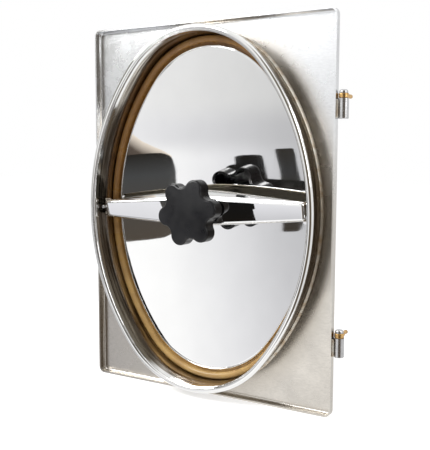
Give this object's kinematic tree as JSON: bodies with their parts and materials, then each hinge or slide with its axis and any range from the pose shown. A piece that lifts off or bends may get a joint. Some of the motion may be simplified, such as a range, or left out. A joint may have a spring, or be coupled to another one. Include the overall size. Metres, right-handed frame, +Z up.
{
  "type": "tank manway cover",
  "caption": "Oval inward-closing tank manway cover on a rectangular flanged plate, clamped by a star knob and crossbar, with side hinge eyes.",
  "frame": {"origin": "centre of the oval on the plate's flat back face", "axes": "-Y points out of the tank towards the knob, +Z up along the oval's long axis, +X towards the hinges"},
  "size_m": [0.364, 0.076, 0.474],
  "materials": {
    "satin_steel": "satin ground stainless sheet",
    "polished_steel": "polished stainless",
    "mirror_steel": "mirror polished stainless",
    "weld_steel": "dressed weld bead",
    "turned_steel": "turned stainless",
    "tan_rubber": "tan food-grade rubber",
    "black_plastic": "semi-gloss black moulding",
    "brass": "plain brass"
  },
  "bodies": {
    "frame": {"base_plate": "satin_steel", "neck_ring": "polished_steel", "neck_weld": "weld_steel", "lug_left": "polished_steel", "lug_right": "polished_steel", "lug_pin_left": "turned_steel", "lug_pin_right": "turned_steel", "hinge_barrel_upper": "turned_steel", "hinge_barrel_lower": "turned_steel", "hinge_pin_upper": "turned_steel", "hinge_pin_lower": "turned_steel"},
    "cover": {"cover_dish": "mirror_steel", "cover_doubler": "satin_steel", "gasket": "tan_rubber", "stud": "turned_steel", "stud_collar": "turned_steel"},
    "bar": {"crossbar": "mirror_steel", "bar_bush": "turned_steel"},
    "knob": {"knob_body": "black_plastic", "knob_insert": "turned_steel", "knob_washer": "turned_steel"},
    "eye_upper": {"hinge_eye_upper": "brass"},
    "eye_lower": {"hinge_eye_lower": "brass"}
  },
  "joints": [
    {"name": "bar_turn", "type": "hinge", "parent": "frame", "child": "bar", "pos_m": [0, -0.025, 0], "axis": [0, -1, 0], "range_deg": [-90, 5]},
    {"name": "knob_turn", "type": "hinge", "parent": "bar", "child": "knob", "pos_m": [0, -0.04, 0], "axis": [0, -1, 0], "range_deg": [0, 1440]},
    {"name": "cover_slide", "type": "slide", "parent": "frame", "child": "cover", "axis": [0, 1, 0], "range_m": [0, 0.008]},
    {"name": "eye_upper_swing", "type": "hinge", "parent": "frame", "child": "eye_upper", "pos_m": [0.182, -0.002, 0.1385], "axis": [0, 0, 1], "range_deg": [-150, 35]},
    {"name": "eye_lower_swing", "type": "hinge", "parent": "frame", "child": "eye_lower", "pos_m": [0.182, -0.002, -0.1385], "axis": [0, 0, 1], "range_deg": [-150, 35]}
  ],
  "couplings": [
    {"joint": "knob_turn", "follows": "cover_slide", "rad_per_m": 3141.6}
  ]
}
